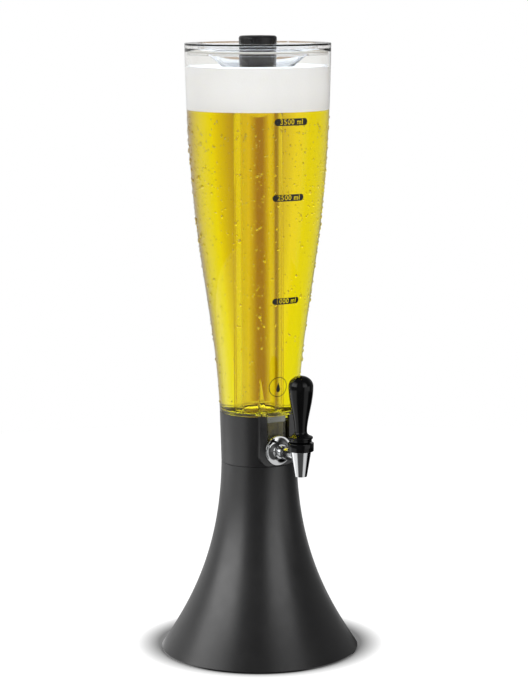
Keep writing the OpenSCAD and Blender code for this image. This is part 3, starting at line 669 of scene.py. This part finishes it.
def build_spout():
    """The chrome cone with its side shank, both bored."""
    cone = turned_bmesh([(0, Z_TAP - 21), (6.9, Z_TAP - 21), (11.6, Z_TAP + 7), (11.6, CONE_TOP),
                         (10.4, CONE_TOP), (10.4, Z_TAP + 12), (0, Z_TAP + 12)], 128, TAP_AXIS, soft=.4)
    stub = turned_bmesh(band(0, 7, 49, 90), 96, SHANK_AXIS, "F", soft=.4)
    shank = turned_bmesh(band(0, SHANK_R, 27, 52), 96, SHANK_AXIS, "F", soft=.4)
    spout_bore = turned_bmesh(band(0, 4.8, Z_TAP - 22, Z_TAP - 3), 64, TAP_AXIS)
    chamber = turned_bmesh(band(0, 7.6, Z_TAP - 7, Z_TAP + 13), 64, TAP_AXIS)
    shank_bore = turned_bmesh(band(0, 3.8, 26, 88), 64, SHANK_AXIS, "F")
    mesh = combine(cone, [("UNION", stub), ("UNION", shank), ("DIFFERENCE", spout_bore),
                          ("DIFFERENCE", chamber), ("DIFFERENCE", shank_bore)])
    finish_data("tap_spout", mesh, chrome, "tank_unit", ["tap_body"], angle=30, slot="chrome")


def build_disc():
    profile = [(SHANK_HOLE, 41), (10, 41), (10, 42.3), (17.1, 42.3), (17.1, 43.2)]
    profile += points(bezier((16.6, 43.7), (13.6, 43.7), (10.6, 45.3), (8.7, 48.3), 14))
    profile += [(8.0, 49), (SHANK_HOLE, 49)]
    turned("escutcheon_disc", profile, chrome, "tank_unit", ["tap_escutcheon"], 144, SHANK_AXIS, "F",
           soft=.25, slot="chrome")


def build_bonnet():
    stem_hole, neck_hole, thread_r, outer_r = 2.88, 4.6, 10.5, 14.5
    profile = [(thread_r, CONE_TOP), (outer_r, CONE_TOP), (outer_r, CONE_TOP + 9.5),
               (stem_hole, CONE_TOP + 9.5), (stem_hole, CONE_TOP + 7.2), (neck_hole, CONE_TOP + 7.2),
               (neck_hole, CONE_TOP + 5.2), (thread_r, CONE_TOP + 5.2)]
    turned("bonnet_ring", profile, black_gloss, "tank_unit", ["bonnet"], 144, TAP_AXIS, soft=.9,
           slot="black_gloss")


def build_handle():
    """Foot, waist and pear in one turned lever, with the slot for the stem and the pin's hole."""
    knob_r, knob_z = 13.9, 57.5
    profile = [(0, -5.7), (8.7, -5.7), (10.5, -5.4), (12, -4.8), (12.3, -4.3), (12.3, -1.8), (13.2, -1.4),
               (13.5, -.8), (13.5, .3)]
    profile += points(bezier((13.0, .9), (10.1, 1.9), (6.9, 3.4), (6.9, 6.5), 12))
    profile += points(bezier((6.9, 6.6), (6.9, 21.8), (knob_r, 38.1), (knob_r, knob_z), 40))
    profile += arc(0, knob_z, knob_r, .06, QUARTER - .03, 22, high=12) + [(0, knob_z + 12)]
    lever = turned_bmesh(profile, 144, (0, TAP_Y, Z_PIN), soft=.25)
    slot_half = 3.1
    slot_side = [(3.1, -6.7), (3.1, -1.25), (4.73, .7), (4.73, 4.8), (-3.1, 4.8), (-3.1, 1.25), (-9.77, -6.7)]
    slot = bmesh.new()
    close_up(slot, *([(x * MM, (TAP_Y + y) * MM, (Z_PIN + z) * MM) for y, z in slot_side]
                     for x in (-slot_half, slot_half)))
    pin = turned_bmesh(band(0, 1.35, -15, 15), 32)
    bmesh.ops.rotate(pin, verts=pin.verts, cent=(0, 0, 0), matrix=Matrix.Rotation(QUARTER, 3, "Y"))
    bmesh.ops.translate(pin, verts=pin.verts, vec=(0, TAP_Y * MM, Z_PIN * MM))
    mesh = combine(lever, [("DIFFERENCE", slot), ("DIFFERENCE", pin)])
    finish_data("handle_lever", mesh, black_gloss, "handle", ["tap_handle"], angle=30, slot="black_gloss")


def build_spring():
    """The return spring under the bonnet, a copy of the CAD spring with a mesh of its own."""
    spring = put("return_spring", nodes["valve_spring"].data.copy())
    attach(spring, "tank_unit")
    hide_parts("valve_spring")
    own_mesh(spring)


# ---------------------------------------------------------------- printed marks on the tank
INK_LIFT, INK_THICK = .06, .06
# text, height, turn from the front, half width of the field, its height
LABELS = (("3500 ml", 612.8, -.056, 20.6, 7.8), ("2500 ml", 529.4, -.066, 19.4, 7.6),
          ("1000 ml", 412.8, .012, 17.4, 7.2))
MARK_Z, MARK_TURN = 314.0, -.06


def wrap(x, z, lift, phi0):
    """A point x millimetres round the tank from direction phi0, at height z, lift off its wall."""
    r = float(tank_r(z)) + lift
    phi = phi0 + x / r
    return Vector((r * math.sin(phi) * MM, -r * math.cos(phi) * MM, z * MM))


def lettering(text, size):
    """The text as a thick flat mesh, in millimetres."""
    cu = bpy.data.curves.new(text, "FONT")
    cu.body, cu.align_x, cu.align_y, cu.size, cu.extrude = text, "CENTER", "CENTER", size, 2
    cu.space_character, cu.resolution_u, cu.offset = 1.08, 3, .1
    ob = put(text, cu)
    bm = bmesh.new()
    old = bpy.data.meshes.new_from_object(ob.evaluated_get(bpy.context.evaluated_depsgraph_get()))
    bm.from_mesh(old)
    bpy.data.objects.remove(ob)
    bpy.data.meshes.remove(old)
    bmesh.ops.remove_doubles(bm, verts=bm.verts, dist=1e-4)
    return bm


def build_label(text, z, phi0, half, high):
    """A printed field with round ends and the text left open in it, laid flat and then wrapped."""
    r = high / 2
    turn = np.linspace(0, QUARTER, 8)
    xs = np.concatenate([-half + r - r * np.cos(turn), np.linspace(-half + r, half - r, 30)[1:-1],
                         half - r + r * np.sin(turn)])
    bm = bmesh.new()
    columns = []
    for x in xs:
        over = max(0, abs(x) - (half - r))
        h = max(math.sqrt(max(r * r - over * over, 0)), .02)
        columns.append([bm.verts.new((x, y, t)) for y, t in ((-h, 0), (h, 0), (h, 1), (-h, 1))])
    loft(bm, columns, closed=False)
    bm.faces.new(columns[0])
    bm.faces.new(columns[-1][::-1])
    me = combine(bm, [("DIFFERENCE", lettering(text, high * 1.06))])
    for v in me.vertices:
        v.co = wrap(v.co.x, z + v.co.y, INK_LIFT + INK_THICK * v.co.z, phi0)
    me.update()
    finish_data("mark_" + text.split()[0], me, ink_black, "tank_unit", angle=50)


def build_drop_mark():
    """A plain ring with a drop in it."""
    bm = bmesh.new()
    n, r, half = 64, 11.1, .35
    thin = .05
    columns = []
    for i in range(n):
        a = 2 * math.pi * i / n
        edges = ((r - half, 0), (r + half, 0), (r + half, thin), (r - half, thin))
        columns.append([bm.verts.new(wrap(q * math.cos(a), MARK_Z + q * math.sin(a), INK_LIFT + t,
                                          MARK_TURN)) for q, t in edges])
    loft(bm, columns, closed=True)
    n, wide, tall, z = 40, 3.4, 5.6, MARK_Z - .4
    drop = []
    for i in range(n):
        a = 2 * math.pi * i / n
        drop.append((wide * math.sin(a) * math.sin(a / 2) ** 1.6, tall * math.cos(a)))
    close_up(bm, *([wrap(x, z + y, lift, MARK_TURN) for x, y in drop]
                   for lift in (INK_LIFT + thin, INK_LIFT)))
    finish_mesh("mark_drop", bm, ink_black, "tank_unit", angle=50)


# ---------------------------------------------------------------- droplets on the wall
COUNT = 1900
SIDES = 10
SUNK, TIP = -.12, .77  # heights of a drop of radius 1: its skirt in the wall, and its top
DROP_RINGS = ((1, SUNK), (.97, .28), (.8, .54), (.45, .72))
DROPS_LOW, DROPS_HIGH, DROPS_INNER = 290, 616, 40
TAP_SIDE, TAP_TOP = .62, 350  # none behind the tap


def unit_drop():
    """Points and faces of a drop of radius 1 that sits on a wall and reaches out along its third axis."""
    turns = np.linspace(0, 2 * math.pi, SIDES + 1)[:-1]
    pts = [(0.0, 0.0, SUNK)]
    for q, h in DROP_RINGS:
        pts += [(q * math.cos(a), q * math.sin(a), h) for a in turns]
    pts.append((0, 0, TIP))
    last = len(pts) - 1
    faces = [(0, 1 + (i + 1) % SIDES, 1 + i) for i in range(SIDES)]
    for k in range(len(DROP_RINGS) - 1):
        lo, hi = 1 + SIDES * k, 1 + SIDES * (k + 1)
        faces += [(lo + i, lo + (i + 1) % SIDES, hi + (i + 1) % SIDES, hi + i) for i in range(SIDES)]
    faces += [(last - SIDES + i, last - SIDES + (i + 1) % SIDES, last) for i in range(SIDES)]
    return np.array(pts), faces


def drop_height():
    """A height on the wall, more often where the tank is wide."""
    while True:
        z = rng.uniform(DROPS_LOW, DROPS_HIGH)
        if rng.uniform(DROPS_INNER, RIM_R) < tank_r(z):
            return z


def drop_size():
    u = rng.uniform()
    return rng.uniform(.5, .9) if u < .55 else rng.uniform(.9, 1.3) if u < .92 else rng.uniform(1.3, 2.0)


def placed_drop(unit, z, phi, size):
    """The points of one drop on the wall, a little taller than wide and uneven."""
    tall = 1 + .35 * rng.uniform() * (size > .6)
    r = float(tank_r(z))
    slope = float(tank_r(z + 1) - tank_r(z - 1)) / 2
    out = np.array([math.sin(phi), -math.cos(phi), -slope])
    out /= np.linalg.norm(out)
    side = np.array([math.cos(phi), math.sin(phi), 0])
    up = np.cross(side, out)
    up = up if up[2] > 0 else -up
    centre = np.array([r * math.sin(phi), -r * math.cos(phi), z])
    uneven = 1 + rng.uniform(-.12, .12, 2)
    return (centre + unit[:, :1] * size * uneven[0] * side + unit[:, 1:2] * size * tall * uneven[1] * up
            + unit[:, 2:] * size * out)


def build_droplets():
    unit, unit_faces = unit_drop()
    drops, faces = [], []
    for _ in range(COUNT):
        z = drop_height()
        phi = rng.uniform(-math.pi, math.pi)
        size = drop_size()
        if abs(phi) < TAP_SIDE and z < TAP_TOP:
            continue
        base = len(drops) * len(unit)
        drops.append(placed_drop(unit, z, phi, size))
        faces += [tuple(base + i for i in f) for f in unit_faces]
    me = bpy.data.meshes.new("droplets")
    me.from_pydata((np.concatenate(drops) * MM).tolist(), [], faces)
    me.update()
    bm = bmesh.new()
    bm.from_mesh(me)
    bmesh.ops.recalc_face_normals(bm, faces=bm.faces)
    bm.to_mesh(me)
    bm.free()
    # painted shade: each drop's tint, dark round its upper rim
    tone = np.clip(.1 + 1.1 * unit[:, 2] / TIP - .4 * unit[:, 1], 0, 1)  # darker round the upper rim
    me.attributes.new("rim", "FLOAT", "POINT").data.foreach_set("value", np.tile(tone, len(drops)))
    ob = finish_data("droplets", me, water, "tank_unit", angle=80)
    ob.visible_transmission = False  # those at the back aren't magnified by the drink


build_bell()
build_tank()
build_beer()
build_foam()
build_lid()
build_ice_tube()
build_cap()
build_spout()
build_disc()
build_bonnet()
build_handle()
build_spring()
for label in LABELS:
    build_label(*label)
build_drop_mark()
build_droplets()

# ---------------------------------------------------------------- floor, light and camera, in metres
AZ = math.radians(-31)
VIEW = Vector((-math.sin(AZ), math.cos(AZ), 0))  # from the camera's side towards the back
RIGHT = Vector((math.cos(AZ), math.sin(AZ), 0))
WHITE = (1, 1, 1, 1)


def toward(turn, reach=1.0):
    """The level point at a reach, turn degrees to the right of the camera's side."""
    a = AZ + math.radians(turn)
    return reach * math.sin(a), -reach * math.cos(a), 0


# painted reflections, sectors where the floor lights up for gloss alone: direction, inner and outer angle,
# strength
FLOOR_PAINTED_REFLECTIONS = ((-78, 28, 50, .8), (50, 10, 26, .6), (-155, 50, 80, .6), (0, 60, 90, .06))
# the stage's radius; then a painted shadow round the foot: where the floor's light for the camera starts and
# where it is full, that light's strength, and how far behind the foot the shadow is centred
STAGE_R, PAINTED_SHADOW_FROM, PAINTED_SHADOW_TO, GLOW, PAINTED_SHADOW_SHIFT = 1.35, .118, .146, .85, .02


def floor_material():
    """White to the camera, with a painted shadow round the foot where that white fades out. Clear parts look
    past it.
    """
    m, nt, out = material("floor_white_painted_shadow")
    rays = node(nt, "ShaderNodeLightPath").outputs
    place = coordinates(nt)
    # painted shadow: the floor's light for the camera fades out towards the foot
    away = vector(nt, "LENGTH", vector(nt, "SUBTRACT", place, VIEW * PAINTED_SHADOW_SHIFT))
    glow = mapped(nt, away, (PAINTED_SHADOW_FROM, PAINTED_SHADOW_TO), (0, GLOW))
    paint = node(nt, "ShaderNodeBsdfDiffuse", Color=(.25, .25, .25, 1))
    lift = node(nt, "ShaderNodeEmission", Color=WHITE)
    nt.links.new(maths(nt, "MULTIPLY", rays["Is Camera Ray"], glow), lift.inputs["Strength"])
    plain = operate(nt, node(nt, "ShaderNodeAddShader"), (paint.outputs[0], lift.outputs[0]))[0]
    # painted reflection: the floor gives off light in these sectors to gloss alone
    shade = None
    for turn, inner, outer, strength in FLOOR_PAINTED_REFLECTIONS:
        part = eased(nt, facing(nt, place, toward(turn)), cosines(outer, inner), (0, strength))
        shade = part if shade is None else maths(nt, "ADD", shade, part)
    seen = node(nt, "ShaderNodeEmission", Color=WHITE)
    nt.links.new(shade, seen.inputs["Strength"])
    past = node(nt, "ShaderNodeBsdfTransparent").outputs[0]
    surface = either(nt, rays["Is Glossy Ray"], plain, seen.outputs[0])
    nt.links.new(either(nt, rays["Is Transmission Ray"], surface, past), out.inputs["Surface"])
    return m


def build_floor():
    bm = bmesh.new()
    bmesh.ops.create_circle(bm, cap_ends=True, segments=96, radius=STAGE_R)
    floor = put("floor", to_mesh("floor", bm))
    floor.data.materials.append(floor_material())


PANEL_HALF, PANEL_LOW, PANEL_TOP, PANEL_FAR, PANEL_SHIFT = .34, .02, .60, 1.0, .04


def shade_panel_material():
    """Amber in its middle, paler to its sides: painted shade for the drink's darker core."""
    m, nt, out = material("painted_shade_panel_amber")
    across = vector(nt, "DOT_PRODUCT", coordinates(nt), RIGHT)
    away = maths(nt, "ABSOLUTE", maths(nt, "SUBTRACT", across, PANEL_SHIFT))
    light = node(nt, "ShaderNodeEmission")
    nt.links.new(blend(nt, mapped(nt, away, (.06, .30)), (.44, .27, .11), (1, .95, .87)),
                 light.inputs["Color"])
    nt.links.new(light.outputs[0], out.inputs["Surface"])
    return m


def build_shade_panel():
    """A dim amber panel far behind the tower, seen only through the drink: painted shade that darkens the
    drink's core.
    """
    bm = bmesh.new()
    for x, z in ((-PANEL_HALF, PANEL_LOW), (PANEL_HALF, PANEL_LOW), (PANEL_HALF, PANEL_TOP),
                 (-PANEL_HALF, PANEL_TOP)):
        bm.verts.new(VIEW * PANEL_FAR + RIGHT * x + Vector((0, 0, z)))
    bm.faces.new(bm.verts)
    panel = put("panel", to_mesh("panel", bm))
    panel.data.materials.append(shade_panel_material())
    panel.visible_camera = panel.visible_diffuse = panel.visible_glossy = panel.visible_shadow = False


# soft boxes that gloss sees: direction, inner and outer angle, lower and upper height, fade, strength
SOFT_BOXES = ((-70, 18, 36, .12, .4, .44, 2.3), (40, 12, 26, .12, .3, .65, 1.5),
              (60, 18, 34, -.3, .0, .15, .8))
DIFFUSE_GREY = .85


def soft_box(nt, where, rise, turn, inner, outer, low, high, fade, strength):
    wide = eased(nt, facing(nt, where, toward(turn)), cosines(outer, inner))
    tall = maths(nt, "MULTIPLY", eased(nt, rise, (low - .12, low)),
                 eased(nt, rise, (high, high + fade), (1, 0)))
    return maths(nt, "MULTIPLY", maths(nt, "MULTIPLY", wide, tall), strength)


def wall_behind(nt, behind, beside, rise):
    """What clear parts show: a white wall behind, darker and warmer towards the sides, brighter above."""
    to_right = eased(nt, beside, (-.12, .12))
    to_left = maths(nt, "SUBTRACT", 1, to_right)
    left = maths(nt, "MULTIPLY", eased(nt, behind, (-.1, .4), (.05, .95)), to_left)
    right = maths(nt, "MULTIPLY", eased(nt, behind, (.5, .96), (.1, 1.0)), to_right)
    room = maths(nt, "MULTIPLY", maths(nt, "ADD", left, right), eased(nt, rise, (-.5, -.2), (.12, 1)))
    front = eased(nt, behind, (-.9, -.2), (.35, 0))
    above = eased(nt, rise, (.3, .55), (0, 2.3))
    share = maths(nt, "ADD", maths(nt, "ADD", room, front), above)
    return blend(nt, share, (.33, .21, .08), (1, .995, .985), clamp=False)


def mirrored_room(nt, where, behind, beside, rise):
    """What gloss shows: a dark room on the camera's side, pale behind, and soft boxes."""
    seen = maths(nt, "MULTIPLY", maths(nt, "MULTIPLY", eased(nt, behind, (-.2, .9), (.12, .65)),
                                       eased(nt, beside, (-.3, .5), (1.0, .32))),
                 eased(nt, rise, (.4, .8), (1, .3)))
    for box in SOFT_BOXES:
        seen = maths(nt, "ADD", seen, soft_box(nt, where, rise, *box))
    return seen


def build_world():
    world = bpy.data.worlds.new("studio")
    bpy.context.scene.world = world
    world.use_nodes = True
    nt = world.node_tree
    nt.nodes.clear()
    out = node(nt, "ShaderNodeOutputWorld")
    background = node(nt, "ShaderNodeBackground")
    rays = node(nt, "ShaderNodeLightPath").outputs
    where = coordinates(nt, "Generated")
    height = node(nt, "ShaderNodeSeparateXYZ")
    nt.links.new(where, height.inputs[0])
    rise = height.outputs["Z"]
    behind, beside = facing(nt, where, VIEW), facing(nt, where, RIGHT)
    camera = rays["Is Camera Ray"]
    clear = maths(nt, "MULTIPLY", rays["Is Transmission Ray"], maths(nt, "SUBTRACT", 1, camera))
    gloss = maths(nt, "MULTIPLY", rays["Is Glossy Ray"],
                  maths(nt, "SUBTRACT", 1, maths(nt, "MAXIMUM", camera, clear)))
    others = maths(nt, "SUBTRACT", 1, maths(nt, "MAXIMUM", camera, maths(nt, "MAXIMUM", gloss, clear)))
    mirrored = maths(nt, "MULTIPLY", gloss, mirrored_room(nt, where, behind, beside, rise))
    grey = maths(nt, "ADD", maths(nt, "ADD", camera, mirrored), maths(nt, "MULTIPLY", others, DIFFUSE_GREY))
    grey = blend(nt, grey, (0, 0, 0), (1, 1, 1), clamp=False)
    through = scaled(nt, wall_behind(nt, behind, beside, rise), clear)
    nt.links.new(vector(nt, "ADD", through, grey), background.inputs["Color"])
    nt.links.new(background.outputs[0], out.inputs["Surface"])


# name, direction, distance, height, width, length, watts
LAMPS = (("soft_left", -66, 1.6, 1.35, .6, 1.1, 11.5), ("soft_right", 38, 1.7, 1.35, .5, 1.0, 12.5),
         ("soft_top", 0, .4, 2.2, 1.4, 1.4, 5))
LAMP_AIM = .35


def build_lamp(name, turn, distance, height, width, length, power):
    light = bpy.data.lights.new(name, "AREA")
    light.shape, light.size, light.size_y, light.energy = "RECTANGLE", width, length, power
    ob = put(name, light)
    ob.location = (*toward(turn, distance)[:2], height)
    ob.rotation_euler = (Vector((0, 0, LAMP_AIM)) - ob.location).to_track_quat("-Z", "Y").to_euler()
    ob.visible_glossy = ob.visible_transmission = False  # gloss shows the painted soft boxes instead


FOCAL_PIXELS, FRAME_H, SENSOR = 2300.0, 700, 36
DISTANCE, HEIGHT = 2.590, .7653
TILT, PAN, ROLL = math.radians(9.12), math.radians(.131), math.radians(-.17)


def build_camera():
    data = bpy.data.cameras.new("camera")
    data.sensor_width = SENSOR
    data.lens = SENSOR * FOCAL_PIXELS / FRAME_H
    data.clip_end = 50
    camera = put("camera", data)
    level = VIEW * math.cos(PAN) + RIGHT * math.sin(PAN)  # the tower stands a little left of the middle
    look = level * math.cos(TILT) + Vector((0, 0, -math.sin(TILT)))
    camera.location = -VIEW * DISTANCE + Vector((0, 0, HEIGHT))
    turn = look.to_track_quat("-Z", "Y").to_matrix().to_4x4()
    camera.matrix_world = Matrix.Translation(camera.location) @ turn @ Matrix.Rotation(ROLL, 4, "Z")
    bpy.context.scene.camera = camera


build_floor()
build_shade_panel()
build_world()
for lamp in LAMPS:
    build_lamp(*lamp)
build_camera()

scene = bpy.context.scene
scene.view_settings.view_transform = "Standard"
scene.cycles.max_bounces = 24
scene.cycles.transmission_bounces = 24
scene.cycles.transparent_max_bounces = 16
for name in ("Cube", "Light", "Camera"):
    if name in bpy.data.objects:
        bpy.data.objects.remove(bpy.data.objects[name])
